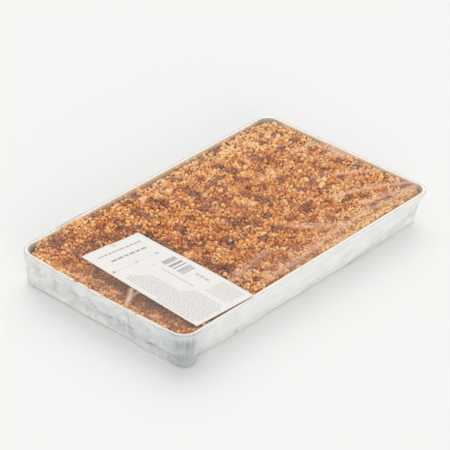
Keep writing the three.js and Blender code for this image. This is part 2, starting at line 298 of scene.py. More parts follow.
def add_piece(name, points, faces, material, attributes=None, flat=False):
    """Makes a mesh of points in millimetres and arrays of faces, with numbers at its points."""
    mesh = bpy.data.meshes.new(name)
    corners = np.concatenate([f.ravel() for f in faces]).astype(np.int32)
    sizes = np.concatenate([np.full(len(f), f.shape[1]) for f in faces])
    starts = np.concatenate([[0], np.cumsum(sizes)[:-1]]).astype(np.int32)
    mesh.vertices.add(len(points))
    mesh.vertices.foreach_set("co", (points * MM).astype(np.float32).ravel())
    mesh.loops.add(len(corners))
    mesh.loops.foreach_set("vertex_index", corners)
    mesh.polygons.add(len(sizes))
    mesh.polygons.foreach_set("loop_start", starts)
    mesh.update(calc_edges=True)
    mesh.validate()
    for label, values in (attributes or {}).items():
        layer = mesh.attributes.new(label, "FLOAT", "POINT")
        layer.data.foreach_set("value", np.asarray(values, np.float32).ravel())
    if flat:
        mesh.shade_flat()
    else:
        mesh.shade_smooth()
    mesh.materials.append(material)
    piece = bpy.data.objects.new(name, mesh)
    bpy.context.scene.collection.objects.link(piece)
    return piece


def thickened(piece, thickness):
    """Gives a sheet its thickness in millimetres, inwards from its outer face."""
    solidify = piece.modifiers.new("thickness", "SOLIDIFY")
    solidify.thickness = thickness * MM
    solidify.offset = -1.0
    return piece


def stand_for(piece, node):
    """Puts a piece on the pack's one body, in place of a CAD node, which it hides."""
    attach(piece, "root")
    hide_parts(node)


# Materials

# Colours of the ramps, each with its place from 0 to 1: the two ends first, then what lies between
GOLDEN_BAKE = [
    (0.0, "#55230e"),
    (1.0, "#ffd798"),
    (0.25, "#9f5023"),
    (0.5, "#dc843b"),
    (0.75, "#f5ab5c"),
]
BROWN_BAKE = [(0.0, "#3e1f14"), (1.0, "#dfa380"), (0.3, "#7b452f"), (0.6, "#ae6e50")]
PALE_NUT = [(0.0, "#e0b27a"), (1.0, "#fbe9c6"), (0.5, "#f3d6a2")]
DRIED_FRUIT = [(0.0, "#5a3c2b"), (1.0, "#a07350"), (0.5, "#7a533b")]
# The cream at 0.4 is a painted highlight on the bead; the tan and brown past it are baked-on caramel
FOIL_TONES_AND_SHEEN = [(0.0, "#f3f5f6"), (1.0, "#a98c6a"), (0.4, "#f1e8d8"), (0.6, "#cfbb9c")]
# The grey at 0.5 is painted shade; the pink at 1 is painted light of the crust in a crease
FILM_TINTS_AND_SHADE = [(0.0, "#fbfaf7"), (1.0, "#f8d6bf"), (0.5, "#84929a")]
PAPER_TONES = [(0.3, "#e7e2dc"), (0.7, "#ece7e1")]


def linear(text, alpha=1.0):
    """An sRGB hex colour as linear numbers."""
    parts = [int(text[k : k + 2], 16) / 255 for k in (1, 3, 5)]
    return (*[c / 12.92 if c <= 0.04045 else ((c + 0.055) / 1.055) ** 2.4 for c in parts], alpha)


def per(size):
    """A texture's scale for features of a size in millimetres."""
    return 1 / (size * MM)


def add_node(tree, kind, inputs=None, stops=(), give=0, **settings):
    """Adds a shader node with its settings, its socket values or links, and a ramp's stops, and
    gives one of its outputs."""
    node = tree.nodes.new(kind)
    for key, value in settings.items():
        setattr(node, key, value)
    for key, value in (inputs or {}).items():
        if isinstance(value, bpy.types.NodeSocket):
            tree.links.new(value, node.inputs[key])
        else:
            node.inputs[key].default_value = value
    for k, (place, text) in enumerate(stops):
        ramp = node.color_ramp.elements
        stop = ramp[k] if k < 2 else ramp.new(place)
        stop.position = place
        stop.color = linear(text)
    return node.outputs[give]


def new_material(name):
    """An empty material, its node tree, and the socket that takes its surface."""
    material = bpy.data.materials.new(name)
    material.use_nodes = True
    tree = material.node_tree
    tree.nodes.clear()
    return material, tree, tree.nodes.new("ShaderNodeOutputMaterial").inputs["Surface"]


def pressed_foil():
    """Aluminium foil, rolled and then pressed: bright outside, dulled by baked sugar inside.

    `grease_and_sheen` is 0 on clean foil; on the bead's inner edge towards -X and -Y it is a painted
    cream highlight, then it grows down the lip as baked-on caramel and is 1 on the inner wall.
    `painted_crimp_shade` is painted bluish-grey shade: up to 0.9 in the grooves of the gathered
    corners, where the bright foil mirrors only itself, and 0.6 inside those corners.
    """
    material, tree, surface = new_material("rolled_aluminium_foil")
    place = add_node(tree, "ShaderNodeTexCoord", give="Object")
    grease_and_sheen = add_node(tree, "ShaderNodeAttribute", give="Fac", attribute_name="grease_and_sheen")
    # Rolling lines run along the sheet, drawn 0.6 mm apart because the real ones are too fine to show
    rolled = add_node(tree, "ShaderNodeMapping", {"Vector": place, "Scale": (0.04, 1.0, 1.0)})
    lines = add_node(tree, "ShaderNodeTexNoise", {"Vector": rolled, "Scale": per(0.6), "Detail": 2.0})
    dimples = add_node(tree, "ShaderNodeTexNoise", {"Vector": place, "Scale": per(14.0), "Detail": 3.0})
    fine = add_node(tree, "ShaderNodeBump", {"Height": lines, "Strength": 0.1, "Distance": 0.2 * MM})
    bump = add_node(tree, "ShaderNodeBump", {
        "Height": dimples,
        "Strength": 0.35,
        "Distance": 0.8 * MM,
        "Normal": fine,
    })
    colour = add_node(tree, "ShaderNodeValToRGB", {"Fac": grease_and_sheen}, FOIL_TONES_AND_SHEEN)
    # Painted bluish-grey shade in the grooves of the gathered corners and inside those corners
    painted_crimp_shade = add_node(tree, "ShaderNodeAttribute", give="Fac", attribute_name="painted_crimp_shade")
    grooves_shaded = add_node(tree, "ShaderNodeMix", {
        "Factor": painted_crimp_shade,
        6: colour,
        7: linear("#6f7d84"),
    }, give=2, data_type="RGBA")
    rough = add_node(tree, "ShaderNodeMapRange", {"Value": dimples, "To Min": 0.5, "To Max": 0.7})
    bare = add_node(tree, "ShaderNodeMapRange", {"Value": grease_and_sheen, "To Min": 1.0, "To Max": 0.25})
    shader = add_node(tree, "ShaderNodeBsdfPrincipled", {
        "Base Color": grooves_shaded,
        "Metallic": bare,
        "Roughness": rough,
        "Normal": bump,
    })
    tree.links.new(shader, surface)
    return material


def bake_colour(tree, grain, spread, stops, browned_stops=None):
    """A baked colour: the attribute `tone`, from dark to light, varied by a grain. Where a second
    set of colours is given, the attribute `brown_and_shadow` mixes in the duller colours of a deeper
    bake, which also paint the label's shadow along its -X edge."""
    tone = add_node(tree, "ShaderNodeAttribute", give="Fac", attribute_name="tone")
    varied = add_node(tree, "ShaderNodeMapRange", {"Value": grain, "To Min": -spread, "To Max": spread})
    mixed = add_node(tree, "ShaderNodeMath", {0: varied, 1: tone}, operation="ADD")
    colour = add_node(tree, "ShaderNodeValToRGB", {"Fac": mixed}, stops)
    if not browned_stops:
        return colour
    brown_and_shadow = add_node(tree, "ShaderNodeAttribute", give="Fac", attribute_name="brown_and_shadow")
    deep = add_node(tree, "ShaderNodeValToRGB", {"Fac": mixed}, browned_stops)
    colours = {"Factor": brown_and_shadow, 6: colour, 7: deep}
    return add_node(tree, "ShaderNodeMix", colours, give=2, data_type="RGBA")


def baked_caramel():
    """Honey caramel with fine crumbs baked onto the cake: mottled amber, browner in places, and
    painted dark as the label's shadow along its -X edge.
    """
    material, tree, surface = new_material("baked_honey_caramel")
    place = add_node(tree, "ShaderNodeTexCoord", give="Object")
    mottle = add_node(tree, "ShaderNodeTexNoise", {
        "Vector": place,
        "Scale": per(2.4),
        "Detail": 3.0,
        "Roughness": 0.6,
    })
    colour = bake_colour(tree, mottle, 0.25, GOLDEN_BAKE, BROWN_BAKE)
    crumb = add_node(tree, "ShaderNodeTexNoise", {"Vector": place, "Scale": per(0.9), "Detail": 2.0})
    bump = add_node(tree, "ShaderNodeBump", {"Height": crumb, "Strength": 0.6, "Distance": 0.5 * MM})
    shader = add_node(tree, "ShaderNodeBsdfPrincipled", {
        "Base Color": colour,
        "Roughness": 0.5,
        "IOR": 1.45,
        "Specular IOR Level": 0.25,
        "Normal": bump,
    })
    tree.links.new(shader, surface)
    return material


def chopped_nut(name, stops, browned_stops=None):
    """A chopped nut's flesh and skin, or dried fruit: dull, with a little grain and its own tone."""
    material, tree, surface = new_material(name)
    place = add_node(tree, "ShaderNodeTexCoord", give="Object")
    grain = add_node(tree, "ShaderNodeTexNoise", {"Vector": place, "Scale": per(1.6), "Detail": 3.0})
    colour = bake_colour(tree, grain, 0.15, stops, browned_stops)
    bump = add_node(tree, "ShaderNodeBump", {"Height": grain, "Strength": 0.35, "Distance": 0.3 * MM})
    shader = add_node(tree, "ShaderNodeBsdfPrincipled", {
        "Base Color": colour,
        "Roughness": 0.5,
        "IOR": 1.47,
        "Specular IOR Level": 0.3,
        "Normal": bump,
    })
    tree.links.new(shader, surface)
    return material


def wrapping_film():
    """Clear polypropylene film: see-through, glossy at a slant, milky where `haze` says it creases.

    `tint_and_shade` colours the milky part: 0 is the white of the loose sides, a half is painted grey
    shade, as a line under the rim's bead, in creases and crumples and at the near corner's foot, 1 the
    painted pinkish light of a crease over the nuts. The milky part is streaked along the way the film
    was pulled, in marks 3.2 mm wide and 8 times as long.
    """
    material, tree, surface = new_material("clear_polypropylene_film")
    clear = add_node(tree, "ShaderNodeBsdfTransparent")
    gloss = add_node(tree, "ShaderNodeBsdfGlossy", {"Roughness": 0.12})
    facing = add_node(tree, "ShaderNodeLayerWeight", {"Blend": 0.5}, give="Facing")
    slant = add_node(tree, "ShaderNodeMath", {0: facing, 1: 4.0}, operation="POWER")
    shine = add_node(tree, "ShaderNodeMath", {0: slant, 1: 0.18, 2: 0.002}, operation="MULTIPLY_ADD")
    sheet = add_node(tree, "ShaderNodeMixShader", {0: shine, 1: clear, 2: gloss})
    tint_and_shade = add_node(tree, "ShaderNodeAttribute", give="Fac", attribute_name="tint_and_shade")
    colour = add_node(tree, "ShaderNodeValToRGB", {"Fac": tint_and_shade}, FILM_TINTS_AND_SHADE)
    lit = add_node(tree, "ShaderNodeBsdfDiffuse", {"Color": colour})
    lit_through = add_node(tree, "ShaderNodeBsdfTranslucent", {"Color": colour})
    milky = add_node(tree, "ShaderNodeMixShader", {0: 0.1, 1: lit, 2: lit_through})
    haze = add_node(tree, "ShaderNodeAttribute", give="Fac", attribute_name="haze")
    place = add_node(tree, "ShaderNodeTexCoord", give="Object")
    pulled = add_node(tree, "ShaderNodeMapping", {
        "Vector": place,
        "Rotation": (math.radians(50.0), 0.0, math.radians(28.0)),
        "Scale": (8.0, 1.0, 8.0),
    }, vector_type="TEXTURE")
    streaks = add_node(tree, "ShaderNodeTexNoise", {"Vector": pulled, "Scale": per(3.2), "Detail": 3.0})
    share = add_node(tree, "ShaderNodeMapRange", {
        "Value": streaks,
        "From Min": 0.3,
        "From Max": 0.7,
        "To Min": 0.92,
        "To Max": 1.08,
    })
    cloud = add_node(tree, "ShaderNodeMath", {0: haze, 1: share}, operation="MULTIPLY")
    mixed = add_node(tree, "ShaderNodeMixShader", {0: cloud, 1: sheet, 2: milky})
    tree.links.new(mixed, surface)
    return material


def label_paper():
    """Smooth coated label paper: warm white, dull, very slightly uneven."""
    material, tree, surface = new_material("coated_label_paper")
    place = add_node(tree, "ShaderNodeTexCoord", give="Object")
    fibre = add_node(tree, "ShaderNodeTexNoise", {"Vector": place, "Scale": per(1.2), "Detail": 4.0})
    colour = add_node(tree, "ShaderNodeValToRGB", {"Fac": fibre}, PAPER_TONES)
    bump = add_node(tree, "ShaderNodeBump", {"Height": fibre, "Strength": 0.1, "Distance": 0.1 * MM})
    paper = {"Base Color": colour, "Roughness": 0.55, "Normal": bump}
    tree.links.new(add_node(tree, "ShaderNodeBsdfPrincipled", paper), surface)
    return material


def printing_ink(name, text):
    """Thin offset ink on paper: flat and dull, a little broken by the paper's fibre."""
    material, tree, surface = new_material(name)
    place = add_node(tree, "ShaderNodeTexCoord", give="Object")
    fibre = add_node(tree, "ShaderNodeTexNoise", {"Vector": place, "Scale": per(0.5), "Detail": 2.0})
    rough = add_node(tree, "ShaderNodeMapRange", {"Value": fibre, "To Min": 0.5, "To Max": 0.7})
    ink = {"Base Color": linear(text), "Roughness": rough}
    tree.links.new(add_node(tree, "ShaderNodeBsdfPrincipled", ink), surface)
    return material


# Foil tray

def tray_section():
    """The foil's outline, outwards and up, and its grease and painted sheen at each point: under the
    base, up the wall, round the bead, over the lip and back in. The bead's inner edge carries the
    painted cream highlight, and the lip and the inside carry the baked-on caramel."""
    wall_foot = UNDERSIDE + FOOT
    foot = arc((-BASE_INSET - FOOT, wall_foot), FOOT, -90, -10, 6)
    heights = np.linspace(wall_foot + 0.6, WALL_TOP, 24)
    wall = beside(-wall_inset(heights), heights)
    flange = [[-3.3, WALL_TOP + 0.25], [-2.6, WALL_TOP + 0.3]]
    bead = arc((-BEAD, RIM_TOP - BEAD), BEAD, -150, 90, 15)
    over = [[-BEAD, RIM_TOP], [-2.7, RIM_TOP - 0.5], [-3.8, RIM_TOP - 1.1], [-4.35, WALL_TOP - 0.4]]
    lip = through(over, 4)[1:]
    inner_heights = np.linspace(WALL_TOP - 1.2, wall_foot + 0.4, 12)
    inner_wall = beside(-wall_inset(inner_heights) - FOIL, inner_heights)
    inner_foot = arc((-BASE_INSET - FOOT - FOIL, wall_foot + FOIL), FOOT, -15, -90, 5)
    step = through([
        [-PANEL_INSET + 0.8, 0],
        [-PANEL_INSET, 0.1],
        [-PANEL_INSET - 1, PANEL_RISE - 0.1],
        [-PANEL_INSET - 2, PANEL_RISE],
    ], 2)
    under = step[::-1] + [0, UNDERSIDE]
    floor = step + [0, UNDERSIDE + FOIL]
    outside = np.concatenate([under, foot, wall, flange, bead])
    inside = np.concatenate([inner_wall, inner_foot, floor])
    # The bead's last points, over its top, carry the painted cream highlight
    inner_bead = 4
    grease_and_sheen = np.concatenate([
        np.zeros(len(outside) - inner_bead),
        np.linspace(0.1, 0.4, inner_bead),
        np.linspace(0.45, 0.9, len(lip)),
        np.ones(len(inside)),
    ])
    return np.concatenate([outside, lip, inside]), grease_and_sheen


def pleats(outline, height):
    """Crimps of the gathered corners: uneven ridges, a sum of sines round the rim, and how strong
    they are, which fades out along the sides and to the rim."""
    near = 1 - smooth(outline.from_corner, 0.45 * PLEAT_REACH, PLEAT_REACH)
    around = np.arange(outline.columns)
    ridges = sum(size * np.sin(turn * around + start) for turn, start, size in PLEAT_WAVES)
    grip = smooth(height, UNDERSIDE, UNDERSIDE + 3) * (1 - smooth(height, WALL_TOP - 3, WALL_TOP + 1.5))
    return ridges, near * (0.15 + grip)


def dents(points):
    """Soft dents of the wall, a third of a millimetre deep, that fade out at the foot and the rim."""
    x, y, z = np.moveaxis(points, -1, 0)
    grip = smooth(z, UNDERSIDE + 1, UNDERSIDE + 8) * (1 - smooth(z, WALL_TOP - 7, WALL_TOP))
    return grip * (0.3 * waves(x + 0.6 * y, 2.2 * z, 46, 3) + 0.12 * waves(x - 0.4 * y, 2.0 * z, 17, 4))


def foil_tray(material):
    """A section of the foil carried round the rim, pleated at the corners, with its base closed.

    Its bead has a painted cream highlight only towards -X and -Y, its inside is greasy all round, and
    painted bluish-grey shade darkens the corner grooves and the inside of the corners.
    """
    outline = Outline(1.6, 44)
    section, grease_and_sheen = tray_section()
    inset, height = -section[:, :1], section[:, 1:]
    grease_and_sheen = grease_and_sheen[:, None]
    rings = outline.ring(inset, height)
    ridges, strength = pleats(outline, height)
    out = PLEAT * ridges * strength + dents(rings)
    rings[..., :2] += out[..., None] * outline.out
    count, columns = rings.shape[:2]
    ids = np.arange(count * columns).reshape(count, columns)
    under, floor = fan(count * columns, ids[0, ::-1]), fan(count * columns + 1, ids[-1])
    middles = [[0, 0, rings[0, 0, 2]], [0, 0, rings[-1, 0, 2]]]
    points = placed(np.concatenate([rings.reshape(-1, 3), middles]))
    # Painted cream highlight on the bead, only on the sides that face -X and -Y
    near_side = smooth(-outline.out @ [0.69, 0.72], -0.2, 0.6)
    grease_and_sheen_values = grease_and_sheen * np.where(grease_and_sheen < 0.42, near_side, 1.0)
    # Painted shade on the lower wall of the gathered corners, most in the grooves, and inside the corners
    lower = 1 - smooth(height, WALL_TOP - 14, WALL_TOP - 2)
    crimp_shade_mask = np.clip(strength, 0, 1) * lower * (0.4 + 0.5 * smooth(-ridges, -0.5, 0.6))
    inner_corner_shade = 0.6 * (grease_and_sheen > 0.5) * (1 - smooth(outline.from_corner, 8, 22))
    attributes = {
        "grease_and_sheen": np.concatenate([grease_and_sheen_values.ravel(), [0, 1]]),
        "painted_crimp_shade": np.concatenate([np.maximum(crimp_shade_mask, inner_corner_shade).ravel(), [0, 0]]),
    }
    return add_piece("tray_foil", points, [bands(count, columns), under, floor], material, attributes)


# Traybake

# Browner patches of the bake, and one strip of painted shadow along the label's -X edge: middle,
# half length and half width in millimetres, turn in degrees, and how deep
BROWN_PATCHES_AND_LABEL_SHADOW = [
    (-126, 88, 13, 8, 10, 0.9),
    (-72, 62, 13, 6, -15, 0.9),
    (-43, 66, 5, 15, 5, 0.7),
    (-22, 63, 9, 5, 0, 0.8),
    (-36, 25, 6, 9, -30, 0.6),
    (-45, 0, 11, 9, 10, 0.6),
    (-26, -20, 9, 6, -30, 0.8),
    (13, 56, 5, 21, 4, 1.0),
    (39, 53, 6, 8, 0, 0.6),
    (6, 30, 5, 6, 0, 0.7),
    (4, -6, 9, 8, 0, 0.9),
    (26, 27, 5, 5, 0, 0.6),
    (49, 4, 5, 13, -15, 0.9),
    (66, 62, 4, 15, 10, 0.8),
    (97, 60, 3, 16, 0, 0.8),
    (125, 26, 6, 5, 0, 0.7),
    (98, -12, 7, 7, 0, 0.6),
    (61, -36, 7, 9, 0, 0.6),
    (49, -52, 8, 6, 0, 0.6),
    (-12, -88, 26, 5, 0, 0.7),
    (122, -75, 20, 4, -8, 0.7),
    (-57, -46, 6, 20, 0, 0.7),
    (-64, 20, 5, 24, 4, 0.5),
    (-150, -30, 8, 66, 0, 0.4),
    # Painted shadow of the label on the crust, along its -X edge, drawn as deep bake
    (-132, -30, 7, 66, 3, 1.0),
    (-104, 66, 22, 7, -6, 0.7),
]

# Dried fruit and the darkest caramel lumps, where the photo shows them
DARK_PLACES = [
    (85, 10), (46, -8), (97, -8), (99, 52), (100, 44), (127, 28), (131, 80), (61, 77), (65, 69), (-50, -46),
    (-61, -77), (-46, -5), (-39, -8), (9, 32), (-14, 65), (-36, 88), (98, -51), (97, 91), (3, -66),
    (129, -44), (-127, 91), (3, -6), (-77, 94), (60, -6), (51, 5), (-133, 32), (-136, 22),
]

# Lone pieces of nut that are paler than the rest
PALE_PLACES = [
    (-4, 23), (4, -18), (58, 52), (74, -18), (28, -60), (88, -36), (-33, -70), (149, 46), (152, 38),
    (148, 30), (153, 20), (98, 87), (103, 92), (93, 94), (107, 90), (31, -58), (141, 52), (-47, 92),
]

# A row of pale nuts that lie on the far rim near the label's end: first and last x, y, how many
PALE_ROW = (-118.0, -97.0, 97.3, 10)

# Where nuts lie up on the rim: middle, half length and half width
SPILLS = [(-157.5, 4, 6, 96), (-99, 97.5, 20, 5.5)]


def deepest(x, y, places, core, rim):
    """The deepest of many ellipses: 1 inside each one's core, fading to 0 at its rim."""
    most = np.zeros(np.shape(x))
    for middle_x, middle_y, half_x, half_y, turn, depth in places:
        angle = math.radians(turn)
        along = ((x - middle_x) * math.cos(angle) + (y - middle_y) * math.sin(angle)) / half_x
        aside = ((y - middle_y) * math.cos(angle) - (x - middle_x) * math.sin(angle)) / half_y
        most = np.maximum(most, depth * (1 - smooth(np.hypot(along, aside), core, rim)))
    return most


def spill_at(x, y):
    """Where nuts lie up on the rim, from 0 to 1."""
    return deepest(x, y, [(*place, 0, 1) for place in SPILLS], 0.7, 1.1)


def browned_and_shaded(x, y):
    """How deep the bake is, from 0 to 1, with the painted label shadow counted in: its patches, with
    ragged edges, and mottling.
    """
    ragged_x, ragged_y = x + 2.2 * waves(x, y, 8, 44), y + 2.2 * waves(x, y, 8, 45)
    patches = deepest(ragged_x, ragged_y, BROWN_PATCHES_AND_LABEL_SHADOW, 0.4, 1.25)
    mottle = 0.55 * np.clip(waves(x, y, 18, 46) - 0.35, 0, 2)
    return np.clip(patches + mottle, 0, 1)


def bake_tone(x, y):
    """How golden the bake is, 0 for dark to 1: mottling 11 to 40 mm across, darker in browner
    patches and the painted label shadow, a slow change from the label's end to the paler far end
    and long edges, and painted light near the rim."""
    mottle = 0.06 * waves(x, y, 40, 39) + 0.08 * waves(x, y, 22, 40) + 0.05 * waves(x, y, 11, 41)
    long_edges = 0.17 * smooth(np.abs(y), 50, 88) * smooth(x, -150, -30)
    slow = 0.04 * smooth(x, -60, 60) + 0.08 * smooth(x, 60, 130) + long_edges
    # Painted light: the crust and its nuts lighter near the rim
    rim_painted_light = 0.16 * (1 - smooth(inset_at(x, y), 5, 18))
    return 0.67 + slow + rim_painted_light + mottle - 0.28 * browned_and_shaded(x, y)


def nearest_nub(x, y, spacing, seed):
    """The jittered grid point nearest each place: nearness, 1 at the point to 0, and its own number."""
    table = np.random.default_rng(seed).uniform(0, 1, (3, 256, 256))
    column, row = np.floor(x / spacing).astype(int), np.floor(y / spacing).astype(int)
    nearest, number = np.full(np.shape(x), 9.0), np.zeros(np.shape(x))
    for i in (column - 1, column, column + 1):
        for j in (row - 1, row, row + 1):
            jitter_x, jitter_y, drawn = table[:, i % 256, j % 256]
            gap = np.hypot(x / spacing - i - jitter_x, y / spacing - j - jitter_y)
            number = np.where(gap < nearest, drawn, number)
            nearest = np.minimum(nearest, gap)
    return 1 - np.minimum(nearest, 1), number


def far_rim(x, y):
    """Where the crust stays clear of the rim: 1 along the far side and 0.7 along the far end, more
    in the corner between the label's end and the far side, and 0 elsewhere."""
    side = smooth(y, 60, 84) * smooth(x, -84, -62)
    end = 0.7 * smooth(x, 120, 146) * smooth(np.abs(y - 4), 14, 24)
    corner = 1.7 * bell(x + 154, 10) * bell(y - 92, 9)
    return np.maximum(np.maximum(side, end), corner)


def crust_height(x, y):
    """Height of the baked top: slowly waving, low under the label, and climbing at the foil."""
    dip = 3.2 * smooth(-x, 62, 84) * (1 - smooth(-x, 137, 147)) * (1 - smooth(y, 52, 66))
    swell = 0.8 * np.sin(x / 33 + 1) * np.cos(y / 33) + 0.5 * np.sin((x - y) / 14)
    edge = 1 - smooth(inset_at(x, y), 5, 16)
    ends = 2.4 * smooth(-x, 136, 152) + 2.6 * smooth(x, 130, 150)
    climb = edge * (0.8 + np.maximum(ends, 2.4 * smooth(np.abs(y), 78, 93)))
    low = 1.8 * far_rim(x, y) * (1 - smooth(inset_at(x, y), 7, 15))
    return CRUST_TOP - dip + swell + climb - low + spill_at(x, y)


def crust_relief(x, y):
    """Nuts sunk in the caramel, as rounded nubs of two sizes, each of its own height."""
    small, small_number = nearest_nub(x, y, *SMALL_NUBS)
    large, large_number = nearest_nub(x, y, *LARGE_NUBS)
    nubs = 1.1 * np.sqrt(small) * (0.4 + small_number) + 0.8 * np.sqrt(large) * large_number
    return nubs - 1.3


def nut_ground(x, y):
    """What a nut rests on: the crust, or the foil's lip where nuts lie up on the rim."""
    inset = inset_at(x, y)
    lip = RIM_TOP - 0.25 - LIP_SLOPE * (inset - BEAD)
    crust = crust_height(x, y) + 0.6 * crust_relief(x, y)
    return np.where(inset < LIP_INSET, np.maximum(lip, crust), crust)


def cake(material):
    """The slab: rings up its sides, then its top as a grid that follows the crust's height."""
    outline = Outline(0.92, 22, CAKE_CORNER)
    floor = UNDERSIDE + FOIL + PANEL_RISE + 0.4
    heights = np.array([floor, floor, floor + 0.8, floor + FOOT, 9.0, 15.0, 20.0, 24.0, 26.0])
    rounding = np.array([9.0, FOOT, 0.5, 0, 0, 0, 0, 0, 0])
    insets = wall_inset(heights) + FOIL + CAKE_CLEAR + rounding
    sides = outline.ring(insets[:, None], heights[:, None], CAKE_CORNER)
    edge = outline.ring(wall_inset(CRUST_TOP) + FOIL + CAKE_CLEAR, CRUST_TOP, CAKE_CORNER)
    edge[:, 2] = crust_height(edge[:, 0], edge[:, 1]) - 0.4
    grid = outline.patch(edge)[1:-1, 1:-1]
    x, y = grid[..., 0], grid[..., 1]
    sunk = crust_relief(x, y) - 0.7 + browned_and_shaded(x, y)
    grid[..., 2] = crust_height(x, y) + sunk * smooth(inset_at(x, y), 5, 8)
    rings = np.concatenate([sides, edge[None]])
    count, columns = rings.shape[:2]
    points = np.concatenate([rings.reshape(-1, 3), grid.reshape(-1, 3), [[0, 0, floor]]])
    under = fan(len(points) - 1, np.arange(columns)[::-1])
    top = quads(outline.patch_ids((count - 1) * columns, count * columns))
    x, y = points[:, 0], points[:, 1]
    brown_and_shadow = browned_and_shaded(x, y)
    own = 0.2 * (nearest_nub(x, y, *SMALL_NUBS)[1] - 0.5)
    attributes = {"tone": 0.2 + 0.34 * brown_and_shadow + own, "brown_and_shadow": brown_and_shadow}
    return add_piece("cake_slab", placed(points), [bands(count, columns), top, under], material, attributes)


def ball_faces(rings, around):
    """Faces of a ball on a grid of latitude and longitude, from its top pole to its bottom one."""
    sides = 1 + bands(rings, around)[:, ::-1]
    body = 1 + np.arange(rings * around).reshape(rings, around)
    return sides, np.concatenate([fan(0, body[0]), fan(rings * around + 1, body[-1, ::-1])])


def ball_directions(rings, around):
    """Unit directions of that ball's points."""
    polar = np.pi * (np.arange(rings) + 1)[:, None] / (rings + 1)
    turn = 2 * np.pi * np.arange(around) / around
    body = beside(np.sin(polar) * np.cos(turn), np.sin(polar) * np.sin(turn), np.cos(polar))
    return np.concatenate([[[0, 0, 1]], body.reshape(-1, 3), [[0, 0, -1]]])


def turns(dice, count, tip):
    """Turning matrices: any bearing, and a random tip of up to `tip` radians about X and Y."""
    yaw = dice.uniform(0, 2 * np.pi, count)
    pitch, roll = dice.uniform(-tip, tip, (2, count))
    cy, sy, cp, sp, cr, sr = (f(a) for a in (yaw, pitch, roll) for f in (np.cos, np.sin))
    rows = [
        [cy * cp, cy * sp * sr - sy * cr, cy * sp * cr + sy * sr],
        [sy * cp, sy * sp * sr + cy * cr, sy * sp * cr - cy * sr],
        [-sp, cp * sr, cp * cr],
    ]
    return np.moveaxis(np.array(rows), 2, 0)


def chopped(dice, middles, halves, tip, rings=3, around=6, cuts=6):
    """Chopped lumps: a ball cut by random planes, then stretched, tipped and put in its place.

    Along each direction the lump reaches the nearest plane, or a full radius where none is near.
    """
    count = len(middles)
    directions = ball_directions(rings, around)
    planes = dice.normal(size=(count, cuts, 3))
    planes /= np.linalg.norm(planes, axis=-1, keepdims=True)
    depth = dice.uniform(0.5, 1.0, (count, 1, cuts))
    facing = np.einsum("dk,nck->ndc", directions, planes)
    reach = np.where(facing > 0.05, depth / np.maximum(facing, 0.05), 9.0).min(axis=-1)
    local = directions[None] * np.minimum(reach, 1.15)[..., None] * halves[:, None, :]
    turned = np.einsum("nij,ndj->ndi", turns(dice, count, tip), local)
    return turned + middles[:, None, :]


def joined_faces(count, rings, around):
    """The faces of many such lumps, numbered one after another."""
    per_lump = rings * around + 2
    shift = per_lump * np.arange(count)[:, None, None]
    return [(faces[None] + shift).reshape(-1, faces.shape[1]) for faces in ball_faces(rings, around)]


def scatter(dice, spacing):
    """Uneven places over the crust: a staggered grid with each point moved at random. It ends 4.2 mm
    inside the rim's outer edge, raggedly further in along the far rim, and further out where nuts
    lie up on the rim."""
    x, y = np.meshgrid(np.arange(-160, 160, spacing), np.arange(-98, 98, spacing * 0.9))
    x[::2] += spacing / 2
    x = x + dice.uniform(-0.45, 0.45, x.shape) * spacing
    y = y + dice.uniform(-0.45, 0.45, y.shape) * spacing
    ragged = np.clip(0.6 + 0.5 * waves(x, y, 9, 47), 0, 1)
    nearest = 4.2 - 3.6 * spill_at(x, y) * ragged + 1.4 * far_rim(x, y) * (1.4 - ragged)
    keep = inset_at(x, y, 15.0) > nearest
    return x[keep], y[keep]


def chopped_sizes(dice, count, middle, spread, limits):
    """Half sizes of chopped pieces: mostly small, a few large, each a little flatter than long."""
    length = np.clip(middle * np.exp(spread * dice.normal(size=count)), *limits)
    width = length * dice.uniform(0.65, 1.0, count)
    return np.stack([length, width, length * dice.uniform(0.6, 0.9, count)], axis=-1)


def lumps(name, dice, x, y, halves, lift, tone, material, tip=0.5, rings=3, around=6):
    """Puts chopped lumps on the crust, a share of their height above it and under the film, and
    leaves out those that reach the rolled bead where no nuts lie up on the rim."""
    middles = beside(x, y, nut_ground(x, y) + lift * halves[:, 2])
    points = chopped(dice, middles, halves, tip, rings, around)
    point_x, point_y = points[..., 0], points[..., 1]
    points[..., 2] = np.minimum(points[..., 2], film_level(point_x, point_y) - FILM_CLEAR)
    keep = (inset_at(point_x, point_y) + 2.4 * spill_at(point_x, point_y)).min(axis=1) > 2.6
    points, tone, brown_and_shadow = points[keep], tone[keep], browned_and_shaded(x, y)[keep]
    faces = joined_faces(len(points), rings, around)
    each = points.shape[1]
    attributes = {"tone": np.repeat(np.clip(tone, 0, 1), each), "brown_and_shadow": np.repeat(brown_and_shadow, each)}
    return add_piece(name, placed(points.reshape(-1, 3)), faces, material, attributes, flat=True)


